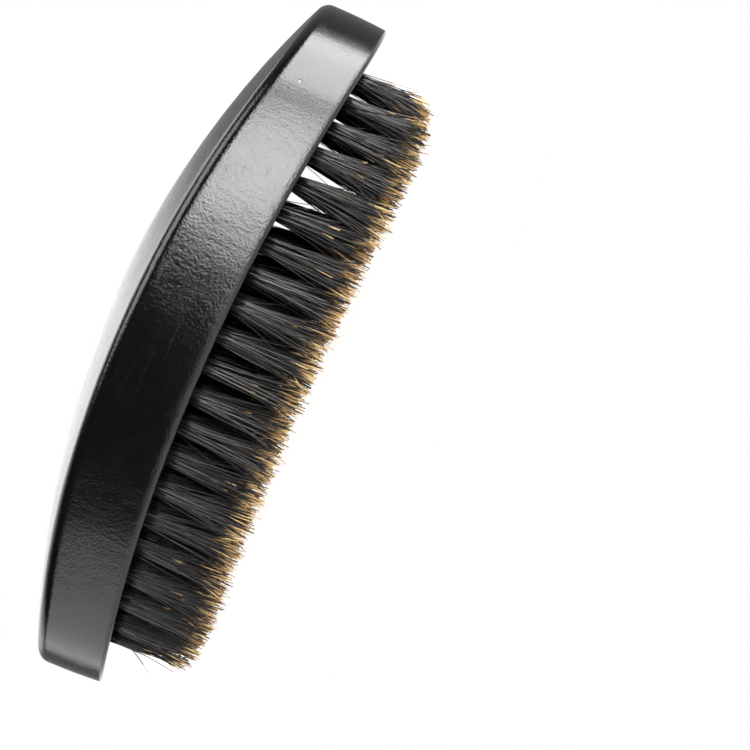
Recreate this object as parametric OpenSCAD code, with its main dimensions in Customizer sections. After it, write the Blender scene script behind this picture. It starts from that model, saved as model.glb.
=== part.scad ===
// Palm-held beard brush: a lacquered wooden back, arched along its length and drilled for
// rows of boar-bristle tufts. Each tuft is a bundle folded over a flat wire anchor, and the
// anchor's two ends bite into the wall of the hole.
// Frame: X runs along the brush, Y across it and Z up through the back. The bristle tips rest
// on Z = 0, and the origin is the middle of the footprint.

/* [Wooden back] */
// Length of the oval back
back_length = 125; // [104:1:150]
// Width of the oval back at its middle
back_width = 60; // [50:1:74]
// Radius of the two long sides of the oval, seen from above
side_radius = 172; // [130:1:200]
// Thickness of the wood at the middle of the back
back_thickness = 17.7; // [15:0.1:21]
// Rise of the arched bristle face from its ends to its middle
face_rise = 7.1; // [5:0.1:9]
// Height of the side wall at the two ends
end_wall = 11.6; // [10:0.1:14]
// Rise of the crowned back from its long edges to its centre line
crown_rise = 3.3; // [2:0.1:5]

/* [Bristle field] */
// Wood left between the ends of the back and the oval that bounds the tuft centres
end_margin = 8.5; // [8:0.5:12]
// Wood left between the long sides of the back and that oval
side_margin = 4.8; // [4:0.1:6]
// Distance from the ends of that oval to the end rows
end_row_inset = 1.7; // [1:0.1:3]
// Number of rows of tufts that use the closer pitch, at each end
close_rows = 3; // [2:1:5]
// Pitch of those closer rows
close_pitch = 4.9; // [4:0.1:5]
// Usual spacing of the tufts along a row
tuft_spacing = 6; // [5:0.1:7]

/* [Tufts] */
// Diameter of the drilled tuft holes
hole_d = 2.8; // [2.2:0.1:3]
// Depth of the drilled tuft holes
hole_depth = 8; // [6:0.5:8.5]
// Free length of the bristle at the middle of the brush
bristle_length = 17.1; // [14:0.1:20]
// Rise of the trimmed bristle tips from the end rows to the middle
trim_rise = 3; // [2:0.1:4]
// Gap kept between the tips of neighbouring tufts
tip_gap = 0.3; // [0.2:0.05:0.5]
// Clearance between a folded tuft and its hole, all round
tuft_clearance = 0.05; // [0.02:0.01:0.1]

/* [Anchors] */
// Thickness of the flat anchor wire
anchor_t = 0.4; // [0.3:0.05:0.5]
// Width of the flat anchor wire, which stands along the hole
anchor_w = 1.6; // [1.2:0.1:2]
// Length of wire that bites into the wood at each end of an anchor
anchor_bite = 0.15; // [0.1:0.05:0.25]
// Thickness of folded bristle between an anchor and the floor of its hole
fold_t = 0.7; // [0.5:0.1:1]
// Clearance between an anchor and the bristle folded round it
anchor_clearance = 0.03; // [0.02:0.01:0.05]

/* [Hidden] */
row_count = 21;
middle_row = (row_count - 1) / 2;
margin = 5;
sink = 1;
arc_overlap = 0.01;
$fn = 256;

half_length = back_length / 2;
half_width = back_width / 2;

// Height of the bristle face at the middle of the brush
face_z = bristle_length + trim_rise;
// Height of the back's centre line at the middle and at the two ends
peak_z = face_z + back_thickness;
end_z = face_z - face_rise + end_wall;

// Radius of the circular arc that rises by rise over a half span
function arc_radius(half_span, rise) = (half_span * half_span + rise * rise) / (2 * rise);
// Drop of that arc at a distance from its crest
function arc_drop(radius, distance) = radius - sqrt(radius * radius - distance * distance);

face_radius = arc_radius(half_length, face_rise);
back_radius = arc_radius(half_length, peak_z - end_z);
crown_radius = arc_radius(half_width, crown_rise);

// An oval has two side arcs and two end arcs that meet tangentially. Its half length, its half
// width and the radius of its side arcs give the rest:
// the radius of its end arcs
function end_arc(length, width, side) =
    (2 * side * width - length * length - width * width) / (2 * (side - length));
// the distance along it at which a side arc hands over to an end arc
function handover(length, width, side) =
    let (end = end_arc(length, width, side))
        (length - end) * side / (side - end);
// and its half width at a distance along it
function oval_half_width(x, length, width, side) =
    let (end = end_arc(length, width, side))
        abs(x) < handover(length, width, side)
            ? sqrt(side * side - x * x) - side + width
            : sqrt(end * end - pow(abs(x) - length + end, 2));

end_radius = end_arc(half_length, half_width, side_radius);
end_centre = half_length - end_radius;
side_centre = side_radius - half_width;

// The tuft centres fill a smaller oval
field_half_length = half_length - end_margin;
field_half_width = half_width - side_margin;
field_side_radius = side_radius - side_margin;
last_row_x = field_half_length - end_row_inset;

// Rows stand at both sides of the middle row, at the open pitch and then at the closer one
open_rows = middle_row - close_rows;
open_pitch = (last_row_x - close_rows * close_pitch) / open_rows;
function outward(k) = min(k, open_rows) * open_pitch + max(k - open_rows, 0) * close_pitch;
function row_x(row) = sign(row - middle_row) * outward(abs(row - middle_row));
// Closest neighbouring row
function row_gap(row) =
    min([for (other = [row - 1, row + 1]) if (other >= 0 && other < row_count)
        abs(row_x(other) - row_x(row))]);

function reach(row) =
    oval_half_width(row_x(row), field_half_length, field_half_width, field_side_radius);
function tuft_count(row) = round(2 * reach(row) / tuft_spacing) + 1;
function tuft_gap(row) = 2 * reach(row) / (tuft_count(row) - 1);
function tuft_y(row, tuft) = -reach(row) + tuft * tuft_gap(row);
function tip_d(row) = min(row_gap(row), tuft_gap(row)) - tip_gap;

function face_z_at(x) = face_z - arc_drop(face_radius, abs(x));
function floor_z(row) = face_z_at(row_x(row)) + hole_depth;
// Level just below the mouth of a hole, where a tuft begins to spread
function mouth_z(row) = face_z_at(abs(row_x(row)) + hole_d / 2);

// The tips are trimmed to an arc that starts at the inner edge of the end rows
trim_half_span = last_row_x - tip_d(0) / 2;
trim_radius = arc_radius(trim_half_span, trim_rise);

function two_digits(number) = str(number < 10 ? "0" : "", number);
function tuft_row_name(row) = str("tuft_row_", two_digits(row + 1));
function anchor_row_name(row) = str("anchor_row_", two_digits(row + 1));

// Oval outline of the back: two full end circles, joined by the lens of the two side arcs,
// which is cut square where the end arcs take over. The end circles are drawn a touch larger
// about the same two ends, so they cross the side arcs cleanly instead of only touching them
module oval() {
    for (side = [-1, 1])
        translate([side * (end_centre - arc_overlap), 0])
            circle(r = end_radius + arc_overlap);
    intersection() {
        translate([0, -side_centre])
            circle(r = side_radius);
        translate([0, side_centre])
            circle(r = side_radius);
        square([2 * handover(half_length, half_width, side_radius), back_width + margin],
            center = true);
    }
}

// Barrel whose crest is the crowned back: an arc across the brush, swept in an arc along it
module back_barrel() {
    translate([0, 0, peak_z - back_radius])
        rotate([90, 0, 0])
            rotate_extrude()
                intersection() {
                    translate([back_radius - crown_radius, 0])
                        circle(r = crown_radius);
                    translate([0, -half_width - margin])
                        square([back_radius, back_width + 2 * margin]);
                }
}

// Cylinder whose crest is the arched bristle face
module face_cylinder() {
    translate([0, 0, face_z - face_radius])
        rotate([90, 0, 0])
            cylinder(r = face_radius, h = back_width + 2 * margin, center = true);
}

module tuft_holes() {
    for (row = [0 : row_count - 1])
        for (tuft = [0 : tuft_count(row) - 1])
            translate([row_x(row), tuft_y(row, tuft), mouth_z(row) - sink])
                cylinder(d = hole_d, h = floor_z(row) - mouth_z(row) + sink);
}

module body() {
    color([0.06, 0.06, 0.06])
        difference() {
            intersection() {
                linear_extrude(peak_z + margin)
                    oval();
                back_barrel();
            }
            face_cylinder();
            tuft_holes();
        }
}

module anchor(row, tuft, spare) {
    translate([row_x(row), tuft_y(row, tuft), floor_z(row) - fold_t - anchor_w / 2])
        cube([anchor_t, hole_d + 2 * anchor_bite, anchor_w] + 2 * spare * [1, 1, 1], center = true);
}

// One tuft: a shank that fills its hole, then a cone that spreads to the tips
module tuft(row, tuft) {
    shank_d = hole_d - 2 * tuft_clearance;
    translate([row_x(row), tuft_y(row, tuft), 0]) {
        cylinder(d1 = tip_d(row), d2 = shank_d, h = mouth_z(row));
        translate([0, 0, mouth_z(row)])
            cylinder(d = shank_d, h = floor_z(row) - tuft_clearance - mouth_z(row));
    }
}

module tuft_row(row) {
    color([0.16, 0.13, 0.10])
        difference() {
            for (tuft = [0 : tuft_count(row) - 1])
                tuft(row, tuft);
            for (tuft = [0 : tuft_count(row) - 1])
                anchor(row, tuft, anchor_clearance);
            translate([0, 0, trim_rise - trim_radius])
                rotate([90, 0, 0])
                    cylinder(r = trim_radius, h = back_width + 2 * margin, center = true);
        }
}

module anchor_row(row) {
    color("silver")
        for (tuft = [0 : tuft_count(row) - 1])
            anchor(row, tuft, 0);
}

body();
for (row = [0 : row_count - 1]) {
    tuft_row(row);
    anchor_row(row);
}
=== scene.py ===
# %% [markdown]
# # A palm-held beard brush
# The real brush is a lacquered wooden back, arched along its length and drilled from below. Every
# hole holds a bunch of boar bristle, folded over a short flat wire that bites into the wood. The
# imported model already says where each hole, bunch and wire is. This lesson rebuilds what shows,
# the back and the bristle, and finishes all of it with procedural materials.

import math

import bpy
import numpy as np
from mathutils import Matrix, Vector


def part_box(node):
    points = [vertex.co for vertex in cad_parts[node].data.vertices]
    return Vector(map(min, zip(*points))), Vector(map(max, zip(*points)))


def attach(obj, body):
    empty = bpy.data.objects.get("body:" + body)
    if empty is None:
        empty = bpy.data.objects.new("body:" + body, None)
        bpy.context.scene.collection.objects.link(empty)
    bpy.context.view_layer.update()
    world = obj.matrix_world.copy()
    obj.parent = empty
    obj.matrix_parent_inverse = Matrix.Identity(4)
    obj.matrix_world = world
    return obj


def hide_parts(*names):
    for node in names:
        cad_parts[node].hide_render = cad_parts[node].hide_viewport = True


MM = 0.001
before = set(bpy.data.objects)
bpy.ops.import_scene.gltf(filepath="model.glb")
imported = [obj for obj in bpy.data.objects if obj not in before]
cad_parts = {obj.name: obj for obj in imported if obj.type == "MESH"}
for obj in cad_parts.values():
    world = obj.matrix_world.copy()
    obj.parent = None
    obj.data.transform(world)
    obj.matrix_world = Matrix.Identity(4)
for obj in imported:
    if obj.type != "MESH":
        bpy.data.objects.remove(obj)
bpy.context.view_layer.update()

# %% [markdown]
# ## Tools used all the way through
# An operator works on everything that is selected, so each piece starts from an empty selection.
# `start_piece` adds nothing itself, it only clears the way. `finish_piece` names the object, puts
# it on the model's body and hides the imported parts it stands for.


# %% Start and finish a piece
def start_piece():
    if bpy.context.object and bpy.context.object.mode != "OBJECT":
        bpy.ops.object.mode_set(mode="OBJECT")
    bpy.ops.object.select_all(action="DESELECT")


def finish_piece(piece, name, slot, *nodes):
    piece.name = piece.data.name = name
    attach(piece, "root")
    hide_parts(*nodes)
    print(name, "has", len(piece.data.polygons), "faces")


# %% [markdown]
# Colours are written as sRGB hex, as a paint chart gives them, and the shaders want linear light.
# `add_node` adds one node of any kind with its settings and the sockets that feed it, so a
# material reads as a short list.


# %% Colours and nodes
def linear(hex_colour):
    channels = [int(hex_colour[i : i + 2], 16) / 255 for i in (1, 3, 5)]
    return [c / 12.92 if c <= 0.04045 else ((c + 0.055) / 1.055) ** 2.4 for c in channels] + [1.0]


def add_node(tree, kind, settings=None, **inputs):
    node = tree.nodes.new(kind)
    for name, value in (settings or {}).items():
        setattr(node, name, value)
    for name, value in inputs.items():
        socket = node.inputs[int(name[1:]) if name[1:].isdigit() else name.replace("_", " ")]
        if isinstance(value, bpy.types.NodeSocket):
            tree.links.new(value, socket)
        else:
            socket.default_value = value
    return node


def new_material(name):
    material = bpy.data.materials.new(name)
    material.use_nodes = True
    material.node_tree.nodes.clear()
    return material, material.node_tree


# %% [markdown]
# ## The camera
# The camera looks across the brush at the bristle's own level, a little to one side and a little
# down, and it is rolled so that the brush stands on its end. A camera looks down its own -Z axis,
# so tipping it up by 90 degrees less the elevation aims it, and the roll comes last.

# %% Camera
AZIMUTH, ELEVATION, ROLL = (math.radians(angle) for angle in (5.54, 8.94, -66.64))
AIM = Vector((6.96, 0, -9.75)) * MM
DISTANCE = 262.9 * MM


def direction(azimuth, elevation):
    level = math.cos(elevation)
    return Vector((math.sin(azimuth) * level, -math.cos(azimuth) * level, math.sin(elevation)))


camera = bpy.data.objects.new("camera", bpy.data.cameras.new("camera"))
bpy.context.scene.collection.objects.link(camera)
camera.data.sensor_width = 36
camera.data.lens = 70.61
camera.data.clip_start = 5 * MM
camera.matrix_world = (
    Matrix.Translation(AIM + direction(AZIMUTH, ELEVATION) * DISTANCE)
    @ Matrix.Rotation(AZIMUTH, 4, "Z")
    @ Matrix.Rotation(math.pi / 2 - ELEVATION, 4, "X")
    @ Matrix.Rotation(ROLL, 4, "Z")
)
bpy.context.scene.camera = camera
print("camera at", [round(value / MM, 1) for value in camera.location], "mm")

# %% [markdown]
# ## The room, the floor and the lights
# Black lacquer has almost no colour of its own: what shows is the room mirrored in it. So the
# lights are placed by what the side wall should mirror, as angles round the brush. Two wide, low
# softboxes give the bright end, a weak one greys the other end, and the dark room behind the
# camera gives the black middle. They are kept low, because the crowned back would mirror taller
# ones as a blank white sheet when it is seen from behind. The room is bright behind the brush,
# and the camera always sees it white.

# %% Room
bpy.context.scene.view_settings.view_transform = "Standard"
room = bpy.data.worlds.new("white_room")
bpy.context.scene.world = room
room.use_nodes = True
room.node_tree.nodes.clear()
tree = room.node_tree
towards = add_node(tree, "ShaderNodeTexCoord").outputs["Generated"]
split = add_node(tree, "ShaderNodeSeparateXYZ", Vector=towards)


def fade(axis, start, stop, low_value, high_value):
    return add_node(
        tree, "ShaderNodeMapRange", {"interpolation_type": "SMOOTHSTEP"},
        Value=split.outputs[axis], From_Min=start, From_Max=stop, To_Min=low_value, To_Max=high_value,
    ).outputs[0]


def maths(operation, first, second):
    return add_node(
        tree, "ShaderNodeMath", {"operation": operation}, _0=first, _1=second
    ).outputs[0]


overhead = maths("MAXIMUM", fade("Z", 0.1, 0.3, 0, 1.5), fade("Y", 0.86, 0.96, 0, 1.5))
bright_sky = maths("MULTIPLY", overhead, fade("X", -0.16, 0.08, 1, 0))
behind = maths("MULTIPLY", fade("Y", -0.1, 0.45, 0, 1), maths("ADD", bright_sky, 0.25))
dark_side = add_node(
    tree, "ShaderNodeBackground", Color=linear("#FFFFFF"), Strength=maths("ADD", behind, 0.03)
)
white = add_node(tree, "ShaderNodeBackground", Color=linear("#FFFFFF"), Strength=1.0)
seen = add_node(tree, "ShaderNodeLightPath").outputs["Is Camera Ray"]
mixed = add_node(
    tree, "ShaderNodeMixShader", _0=seen, _1=dark_side.outputs[0], _2=white.outputs[0]
)
add_node(tree, "ShaderNodeOutputWorld", Surface=mixed.outputs[0])


# %% Softboxes
def softbox(name, azimuth, elevation, distance, width, height, radiance):
    light = bpy.data.objects.new(name, bpy.data.lights.new(name, "AREA"))
    bpy.context.scene.collection.objects.link(light)
    light.data.shape = "RECTANGLE"
    light.data.size, light.data.size_y = width, height
    light.data.energy = radiance * math.pi * width * height
    away = direction(math.radians(azimuth), math.radians(elevation))
    facing = away.to_track_quat("Z", "Y").to_matrix().to_4x4()
    light.matrix_world = Matrix.Translation(away * distance) @ facing
    light.visible_camera = False


SOFTBOX_DISTANCE = 1.6
for name, azimuth, elevation, width, height, radiance in [
    ("softbox_bright", 23, -6, 0.64, 0.96, 15),
    ("softbox_end", 70, -6, 1.75, 0.96, 14),
    ("softbox_lower", 8, -14, 0.25, 0.3, 7),
    ("softbox_weak", -76, -7, 2.4, 0.9, 2.4),
    ("softbox_overhead", 25, 62, 1.3, 1.0, 5),
    ("softbox_behind", 180, 50, 1.2, 1.2, 2),
]:
    softbox(name, azimuth, elevation, SOFTBOX_DISTANCE, width, height, radiance)

# %% [markdown]
# The brush rests on the tips of its bristle, on a pale sheet. The sheet is a small round one, so
# that the upright wall of the back doesn't mirror it, and it is lit from within a little, as the
# milky acrylic of a product table is.

# %% Floor
start_piece()
bpy.ops.mesh.primitive_circle_add(vertices=128, radius=0.115, fill_type="NGON")
floor = bpy.context.object
floor.name = "floor"
acrylic, tree = new_material("milky_acrylic_table")
surface = add_node(
    tree, "ShaderNodeBsdfPrincipled",
    Base_Color=linear("#B4B4B4"), Roughness=0.6,
    Emission_Color=linear("#FFFFFF"), Emission_Strength=0.93,
)
add_node(tree, "ShaderNodeOutputMaterial", Surface=surface.outputs[0])
floor.data.materials.append(acrylic)

# %% [markdown]
# ## The wooden back: its shape
# Seen from above, the back is an oval of four arcs: two long side arcs and two small end arcs that
# meet without a corner. It could be cut from a block with boolean shapes, but gloss lacquer shows
# every uneven face, so the outline is drawn with Spin, as with a compass, and the whole surface is
# grown from it as even rings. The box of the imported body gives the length, width and heights. The
# radius of the side arcs and the rises of the arches are the maker's own sizes.

# %% Sizes of the back
low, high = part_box("body")
half_length, half_width = high.x, high.y
SIDE_RADIUS = 172 * MM
FACE_RISE = 7.1 * MM
END_WALL = 11.6 * MM
CROWN_RISE = 3.3 * MM


def arc_radius(half_span, rise):
    return (half_span**2 + rise**2) / (2 * rise)


def arc_drop(radius, distance):
    return radius - math.sqrt(radius**2 - distance**2)


end_radius = (2 * SIDE_RADIUS * half_width - half_length**2 - half_width**2) / (
    2 * (SIDE_RADIUS - half_length)
)
end_centre = half_length - end_radius
side_centre = SIDE_RADIUS - half_width
face_top = low.z + FACE_RISE
face_radius = arc_radius(half_length, FACE_RISE)
back_radius = arc_radius(half_length, high.z - low.z - END_WALL)
crown_radius = arc_radius(half_width, CROWN_RISE)


def face_height(x):
    return face_top - arc_drop(face_radius, x)


def back_height(x, y):
    hoop = back_radius - arc_drop(crown_radius, y)
    return high.z - back_radius + math.sqrt(hoop**2 - x**2)


print("end arcs", round(end_radius / MM, 2), "mm, face radius", round(face_radius / MM, 1), "mm")

# %% [markdown]
# Spin turns a single point about a centre and leaves an edge behind at every step. Five spins go
# once round the oval. The point starts at the middle of one end, and each spin's angle is where
# the two kinds of arc meet.

# %% Outline of the back
start_piece()
bpy.ops.mesh.primitive_plane_add(size=MM, location=(half_length, 0, 0))
back = bpy.context.object
bpy.ops.object.transform_apply(location=True)
bpy.ops.object.mode_set(mode="EDIT")
bpy.ops.mesh.merge(type="CENTER")
end_angle = math.atan2(side_centre, end_centre)
side_angle = math.pi - 2 * end_angle
for centre, angle, steps in [
    ((end_centre, 0, 0), end_angle, 14),
    ((0, side_centre, 0), side_angle, 60),
    ((-end_centre, 0, 0), 2 * end_angle, 28),
    ((0, -side_centre, 0), side_angle, 60),
    ((end_centre, 0, 0), end_angle, 14),
]:
    bpy.ops.mesh.spin(steps=steps, angle=angle, center=centre, axis=(0, 0, 1))
bpy.ops.mesh.select_all(action="SELECT")
bpy.ops.mesh.remove_doubles(threshold=0.01 * MM)

# %% [markdown]
# The outline is extruded upwards in steps for the wall, then inwards in shrinking rings for the
# back. The open lower edge is then the only loose edge left, and Select Non Manifold finds it for
# the face. The first ring lies far enough in to leave room for a rounded edge.

# %% Wall, crown and face as rings
BLOCK = 10 * MM
wall_levels = [0, 0.12, 0.26, 0.42, 0.58, 0.72, 0.86, 1]
ring_scales = [1, 0.93, 0.86, 0.78, 0.7, 0.61, 0.52, 0.43, 0.34, 0.25, 0.16, 0.08]


def grow_rings():
    for outer, inner in zip(ring_scales, ring_scales[1:]):
        bpy.ops.mesh.extrude_region_move(TRANSFORM_OT_translate={"value": (0, 0, 0)})
        shrink = inner / outer
        bpy.ops.transform.resize(value=(shrink, shrink, 1), center_override=(0, 0, 0))
    bpy.ops.mesh.merge(type="CENTER")


for below, above in zip(wall_levels, wall_levels[1:]):
    lift = (0, 0, (above - below) * BLOCK)
    bpy.ops.mesh.extrude_region_move(TRANSFORM_OT_translate={"value": lift})
grow_rings()
bpy.ops.mesh.select_all(action="DESELECT")
bpy.ops.mesh.select_mode(type="EDGE")
bpy.ops.mesh.select_non_manifold()
grow_rings()
bpy.ops.mesh.select_all(action="SELECT")
bpy.ops.mesh.normals_make_consistent(inside=False)
bpy.ops.object.mode_set(mode="OBJECT")

# %% [markdown]
# So far the block is flat above and below. Each point's height in the block, from 0 to 1, is now
# read as its place between the arched face and the crowned back, which bends the whole block at
# once and keeps its rings. The wall of a hand-sanded back isn't dead flat either: it swells by
# less than half a millimetre at mid height, which is why reflections bend near its edges.

# %% Bend the block to the two arches
SWELL = 0.15 * MM
levels = []
for vertex in back.data.vertices:
    level = vertex.co.z / BLOCK
    levels.append(level)
    draw_in = SWELL * (2 * level - 1) ** 2
    vertex.co.x *= 1 - draw_in / half_length
    vertex.co.y *= 1 - draw_in / half_width
    lowest, highest = face_height(vertex.co.x), back_height(vertex.co.x, vertex.co.y)
    vertex.co.z = lowest + level * (highest - lowest)
back.data.update()
print("back is", round((high.z - low.z) / MM, 1), "mm tall from the face ends to the crest")

# %% [markdown]
# Sandpaper and several coats of lacquer round the edges. The only sharp edges are the two rims,
# so Select Sharp Edges finds them. The back's rim gets a soft round, the face's rim a small one.

# %% Round the two rims
BACK_ROUND = 1.4 * MM
FACE_ROUND = 0.7 * MM


def select_sharp(keep):
    bpy.ops.object.mode_set(mode="EDIT")
    bpy.ops.mesh.select_all(action="DESELECT")
    bpy.ops.mesh.edges_select_sharp(sharpness=math.radians(45))
    bpy.ops.object.mode_set(mode="OBJECT")
    for edge in back.data.edges:
        edge.select = edge.select and keep(edge)
    bpy.ops.object.mode_set(mode="EDIT")


select_sharp(lambda edge: min(levels[index] for index in edge.vertices) > 0.99)
bpy.ops.mesh.bevel(offset=BACK_ROUND, segments=5, affect="EDGES")
select_sharp(lambda edge: True)
bpy.ops.mesh.bevel(offset=FACE_ROUND, segments=4, affect="EDGES")
bpy.ops.object.mode_set(mode="OBJECT")
print("rims rounded,", len(back.data.polygons), "faces")

# %% [markdown]
# ## Where the tufts are
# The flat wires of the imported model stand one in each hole, so their centres are the centres of
# the holes. A node holds a whole row of wires that lie along Y, so the sorted Y values of its
# points are the two ends of one wire after another, and each pair's mean is a centre.

# %% Tuft centres, row by row
ROWS = 21
HOLE_RADIUS = 1.4 * MM
HOLE_DEPTH = 8 * MM


def tuft_centres(row):
    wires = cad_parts[f"anchor_row_{row:02d}"]
    lowest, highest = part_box(wires.name)
    wire_ends = np.unique([round(vertex.co.y / MM, 2) for vertex in wires.data.vertices])
    return (lowest.x + highest.x) / 2, wire_ends.reshape(-1, 2).mean(1) * MM


rows = {row: tuft_centres(row) for row in range(1, ROWS + 1)}
print("tufts in each row:", [len(across) for _, across in rows.values()])

# %% [markdown]
# The holes are real ones: between the outer bunches you look into their dark mouths. One drill
# shape is made and copied to every centre, the copies are joined, and one Boolean modifier cuts
# them all.

# %% Drill the holes
start_piece()
bpy.ops.mesh.primitive_cylinder_add(vertices=20, radius=HOLE_RADIUS, depth=HOLE_DEPTH + 2 * MM)
drill = bpy.context.object
drills = []
for x, across in rows.values():
    for y in across:
        copy = drill.copy()
        copy.data = drill.data.copy()
        copy.location = (x, y, face_height(x) + HOLE_DEPTH - drill.dimensions.z / 2)
        bpy.context.scene.collection.objects.link(copy)
        drills.append(copy)
start_piece()
for copy in drills:
    copy.select_set(True)
bpy.context.view_layer.objects.active = drills[0]
bpy.ops.object.join()
start_piece()
back.select_set(True)
bpy.context.view_layer.objects.active = back
cut = back.modifiers.new("holes", "BOOLEAN")
cut.object, cut.solver = drills[0], "EXACT"
bpy.ops.object.modifier_apply(modifier=cut.name)
bpy.ops.object.shade_smooth_by_angle(angle=math.radians(30))
for used in (drill, drills[0]):
    bpy.data.objects.remove(used)
finish_piece(back, "lacquered_back", "lacquered_wood", "body")

# %% [markdown]
# ## The bristle
# A boar bristle is about 0.2 mm thick, tapers a little and isn't quite straight. A hair system
# could grow it, but the finished brush has to be plain mesh, so one bristle is modelled as a
# three-sided rod in five sections, and every bristle is that rod laid along its own path. Three
# sides, shaded smooth, are enough at this thickness, and keep the whole brush light.

# %% One bristle
start_piece()
bpy.ops.mesh.primitive_circle_add(vertices=3, radius=1, fill_type="NGON")
rod = bpy.context.object
bpy.ops.object.mode_set(mode="EDIT")
SECTIONS = 5
for section in range(SECTIONS):
    bpy.ops.mesh.extrude_region_move(TRANSFORM_OT_translate={"value": (0, 0, 1 / SECTIONS)})
    bpy.ops.transform.resize(value=(0.95, 0.95, 1))
bpy.ops.mesh.select_all(action="SELECT")
bpy.ops.mesh.normals_make_consistent(inside=False)
bpy.ops.object.mode_set(mode="OBJECT")
rod_points = np.array([vertex.co for vertex in rod.data.vertices])
rod_faces = [list(face.vertices) for face in rod.data.polygons]
bpy.data.objects.remove(rod)
print("one bristle has", len(rod_points), "points and", len(rod_faces), "faces")

# %% [markdown]
# Each bristle leaves its hole somewhere in the bunch, fans out towards the same side of the tuft,
# and bows slightly. The fan is wide enough for neighbouring tufts to meet at half their length.
# The ends were trimmed to a long arch, but never evenly: most end within a millimetre of it, some
# are shorter, a few are broken off, and now and then one strays across its neighbours. Towards
# the two ends of the brush the trimming slopes in a little, so the last rows lean inwards.

# %% Paths of the bristles in one tuft
BRISTLES = 84
BRISTLE_RADIUS = 0.105 * MM
ROOT_DEPTH = 1.5 * MM
TRIM_RISE = 3 * MM
END_ROW_OVERHANG = 2.3 * MM
END_LEAN = 1.2 * MM
END_SHORTENING = 1.5 * MM
WANDER = 0.36
STRAY_SHARE = 0.05
TUFT_LEAN = 0.13
RAGGEDNESS = 0.35
BOW = 0.25
CLEAR_OF_TABLE = 0.05 * MM
last_x = rows[ROWS][0]
trim_span = last_x - END_ROW_OVERHANG
trim_radius = arc_radius(trim_span, TRIM_RISE)
chance = np.random.default_rng(24)


def trim_height(x):
    beyond = np.minimum(np.abs(x), trim_span)
    return TRIM_RISE - trim_radius + np.sqrt(trim_radius**2 - beyond**2)


def some(share, low_value, high_value):
    picked = chance.uniform(0, 1, BRISTLES) < share
    return np.where(picked, chance.uniform(low_value, high_value, BRISTLES), 0)


def bristle_paths(x, y, fan_x, fan_y):
    spread = np.sqrt(chance.uniform(0, 1, BRISTLES))
    turn = chance.uniform(0, 2 * math.pi, BRISTLES)
    side = np.stack([spread * np.cos(turn), spread * np.sin(turn)], 1)
    fan = np.array([fan_x, fan_y])
    root = [x, y] + side * (HOLE_RADIUS - 1.5 * BRISTLE_RADIUS)
    wander = chance.normal(0, WANDER, (BRISTLES, 2))
    wander *= 1 + some(STRAY_SHARE, 1, 2.5)[:, None]
    lean = chance.normal(0, TUFT_LEAN, 2) * fan - [END_LEAN * (x / last_x) ** 9, 0]
    end = [x, y] + lean + (side + wander) * fan
    ragged = np.abs(chance.normal(0, RAGGEDNESS, BRISTLES)) + some(0.3, 0, 1.8)
    end_z = trim_height(end[:, 0]) + (ragged - some(0.25, 0, 1)) * MM
    end_z += END_SHORTENING * np.abs(end[:, 0] / last_x) ** 12
    end_z = np.maximum(end_z, CLEAR_OF_TABLE)
    root_z = np.full(BRISTLES, face_height(x) + ROOT_DEPTH)
    bow = chance.normal(0, BOW, (BRISTLES, 2)) * MM
    unbroken = 1 - some(0.08, 0.12, 0.45)
    return root, end, root_z, end_z, bow, unbroken


# %% Lay one row of bristles
def bristle_row(row):
    x, across = rows[row]
    neighbours = [rows[near][0] for near in (row - 1, row + 1) if near in rows]
    fan_x = 0.5 * min(abs(near - x) for near in neighbours)
    fan_y = 0.5 * (across[1] - across[0])
    along = rod_points[:, 2]
    points, tones = [], []
    for y in across:
        root, end, root_z, end_z, bow, unbroken = bristle_paths(x, y, fan_x, fan_y)
        t = along[None, :] * unbroken[:, None]
        eased = (0.35 * t + 0.65 * t**2)[..., None]
        middle = root[:, None] + (end - root)[:, None] * eased
        middle += bow[:, None] * np.sin(math.pi * t)[..., None]
        height = root_z[:, None] + (end_z - root_z)[:, None] * t
        thickness = BRISTLE_RADIUS * chance.uniform(0.75, 1.2, (BRISTLES, 1, 1))
        ring = middle + rod_points[None, :, :2] * thickness
        points.append(np.concatenate([ring, height[..., None]], 2).reshape(-1, 3))
        tones.append(np.repeat(chance.uniform(0, 1, BRISTLES), len(rod_points)))
    points, tones = np.concatenate(points), np.concatenate(tones)
    count = len(points) // len(rod_points)
    faces = [
        [index + start for index in face]
        for start in range(0, count * len(rod_points), len(rod_points))
        for face in rod_faces
    ]
    mesh = bpy.data.meshes.new(f"bristle_row_{row:02d}")
    mesh.from_pydata(points.tolist(), [], faces)
    strand = mesh.uv_layers.new(name="strand")
    corners = np.empty(len(mesh.loops), np.int32)
    mesh.loops.foreach_get("vertex_index", corners)
    lengthwise = np.tile(along, count)
    strand.data.foreach_set("uv", np.stack([tones, lengthwise], 1)[corners].ravel())
    mesh.shade_smooth()
    piece = bpy.data.objects.new(mesh.name, mesh)
    bpy.context.scene.collection.objects.link(piece)
    finish_piece(piece, mesh.name, "boar_bristle", f"tuft_row_{row:02d}")
    return piece


bristle_rows = [bristle_row(row) for row in rows]

# %% [markdown]
# ## Black lacquer on wood
# Jet black underneath, with a gloss that is clear enough to mirror a window but breaks it up a
# little. What the eye reads as lacquer is its relief, built up here from several noises: a swell
# of about a millimetre, a finer grain, wrinkles that run up the wall, one slow wave of 14 mm, and
# a few pits. Fine scratches along the brush and cloudy patches change the gloss, and a few pale
# specks of dust sit in the coat.

# %% Lacquer
lacquer, tree = new_material("satin_black_lacquer")
place = add_node(tree, "ShaderNodeTexCoord").outputs["Object"]


def noise(scale, detail=2.0, roughness=0.5, vector=place):
    return add_node(
        tree, "ShaderNodeTexNoise", Vector=vector, Scale=scale, Detail=detail, Roughness=roughness
    ).outputs["Fac"]


def per_mm(size):
    return 1 / (size * MM)


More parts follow.
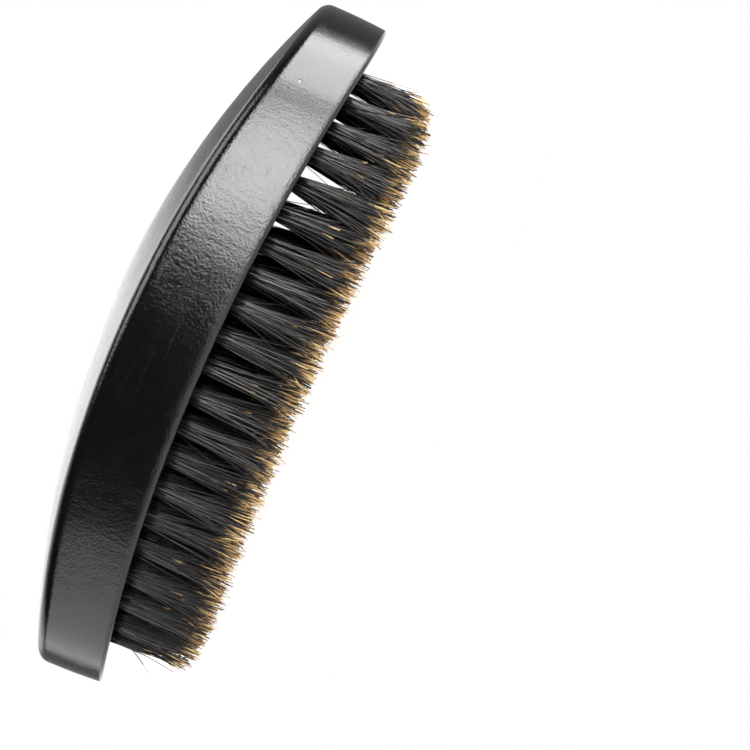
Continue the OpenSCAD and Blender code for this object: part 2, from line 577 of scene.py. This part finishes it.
def ramp(value, low_in, high_in, low_out, high_out):
    return add_node(
        tree, "ShaderNodeMapRange", Value=value,
        From_Min=low_in, From_Max=high_in, To_Min=low_out, To_Max=high_out,
    ).outputs[0]


def bump(strength, height_mm, height, below=None):
    under = {"Normal": below} if below else {}
    return add_node(
        tree, "ShaderNodeBump", Strength=strength, Distance=height_mm * MM, Height=height, **under
    ).outputs[0]


def stretched(*stretch):
    return add_node(tree, "ShaderNodeMapping", Vector=place, Scale=stretch).outputs[0]


def cells(size):
    return add_node(
        tree, "ShaderNodeTexVoronoi", Vector=place, Scale=per_mm(size), Randomness=1.0
    ).outputs["Distance"]


relief = bump(1.0, 0.014, noise(per_mm(1.1), 4.0, 0.65))
relief = bump(1.0, 0.04, noise(per_mm(0.4), 3.0, 0.6), relief)
relief = bump(1.0, 0.03, noise(per_mm(1.3), 3.0, 0.6, stretched(1, 1, 0.25)), relief)
relief = bump(1.0, 0.2, noise(per_mm(14), 1.0), relief)
pits = ramp(cells(7), 0.015, 0.07, 0, 1)
relief = bump(0.5, 0.05, pits, relief)
scratches = ramp(noise(per_mm(0.7), 2.0, 0.6, stretched(0.03, 1, 1)), 0.62, 0.72, 0, 0.1)
dull = ramp(noise(per_mm(4), 4.0, 0.6), 0.3, 0.7, 0.11, 0.18)
dull = maths("ADD", dull, scratches)
dust = ramp(cells(7), 0.012, 0.018, 1, 0)
colour = add_node(
    tree, "ShaderNodeMix", {"data_type": "RGBA"},
    _0=dust, _6=linear("#070708"), _7=linear("#C8C6C0"),
).outputs[2]
surface = add_node(
    tree, "ShaderNodeBsdfPrincipled", Base_Color=colour, Roughness=dull, IOR=1.5, Normal=relief
)
add_node(tree, "ShaderNodeOutputMaterial", Surface=surface.outputs[0])
back.data.materials.clear()
back.data.materials.append(lacquer)

# %% [markdown]
# ## Boar bristle
# The bristle's own map runs from 0 at its root to 1 at its tip, and holds a number that is the
# same all along one bristle. The shaft is black with a horny gloss, and one in ten is browner.
# The split tip turns golden over about the last quarter, and on some bristles hardly at all.
# That gold is partly the tip's own colour and partly painted glow: its palest shades stand in for
# light shining through the tips from behind.

# %% Bristle material
horn, tree = new_material("natural_boar_bristle")
strand = add_node(
    tree, "ShaderNodeSeparateXYZ",
    Vector=add_node(tree, "ShaderNodeUVMap", {"uv_map": "strand"}).outputs[0],
)
tone, along = strand.outputs["X"], strand.outputs["Y"]
starts = ramp(tone, 0, 1, 0.74, 1.04)
ends = ramp(tone, 0, 1, 0.9, 1.12)
# Share of the tip colour along each bristle: partly the hair's own gold, partly painted glow of light
# through the tip.
gold_and_glow_share = add_node(
    tree, "ShaderNodeMapRange", {"interpolation_type": "SMOOTHSTEP"},
    Value=along, From_Min=starts, From_Max=ends, To_Min=0, To_Max=1,
).outputs[0]
shuffled = add_node(
    tree, "ShaderNodeTexWhiteNoise", {"noise_dimensions": "1D"}, W=tone
)
pale = ramp(shuffled.outputs["Value"], 0.9, 1, 0, 1)
shaft = add_node(
    tree, "ShaderNodeMix", {"data_type": "RGBA"}, _0=pale, _6=linear("#070605"), _7=linear("#4A3B2B")
).outputs[2]
# Tip colour from dark gold to pale straw. The pale end is partly the hair's own colour and partly
# painted glow of light shining through from behind.
golden_tip_and_glow = add_node(
    tree, "ShaderNodeMix", {"data_type": "RGBA"},
    _0=shuffled.outputs["Value"], _6=linear("#A36A26"), _7=linear("#FFE0A0"),
).outputs[2]
colour = add_node(
    tree, "ShaderNodeMix", {"data_type": "RGBA"}, _0=gold_and_glow_share, _6=shaft, _7=golden_tip_and_glow
).outputs[2]
surface = add_node(
    tree, "ShaderNodeBsdfPrincipled", Base_Color=colour, IOR=1.5,
    Roughness=ramp(shuffled.outputs["Value"], 0, 1, 0.2, 0.5),
)
add_node(tree, "ShaderNodeOutputMaterial", Surface=surface.outputs[0])
for piece in bristle_rows:
    piece.data.materials.append(horn)

# %% [markdown]
# ## Anchor wire
# The wires are cut from zinc-coated flat steel. They sit deep in the wood, where only a cut-open
# brush would show them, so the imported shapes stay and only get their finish.

# %% Wire material
zinc, tree = new_material("zinc_coated_flat_wire")
place = add_node(tree, "ShaderNodeTexCoord").outputs["Object"]
drawn = add_node(tree, "ShaderNodeMapping", Vector=place, Scale=(1, 0.06, 1)).outputs[0]
lines = noise(per_mm(0.05), 2.0, 0.5, drawn)
surface = add_node(
    tree, "ShaderNodeBsdfPrincipled", Base_Color=linear("#B9BCBF"), Metallic=1.0,
    Roughness=ramp(lines, 0.3, 0.7, 0.22, 0.42),
    Normal=add_node(
        tree, "ShaderNodeBump", Strength=0.3, Distance=0.01 * MM, Height=lines
    ).outputs[0],
)
add_node(tree, "ShaderNodeOutputMaterial", Surface=surface.outputs[0])
for name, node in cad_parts.items():
    if name.startswith("anchor_row_"):
        node.data.materials.clear()
        node.data.materials.append(zinc)
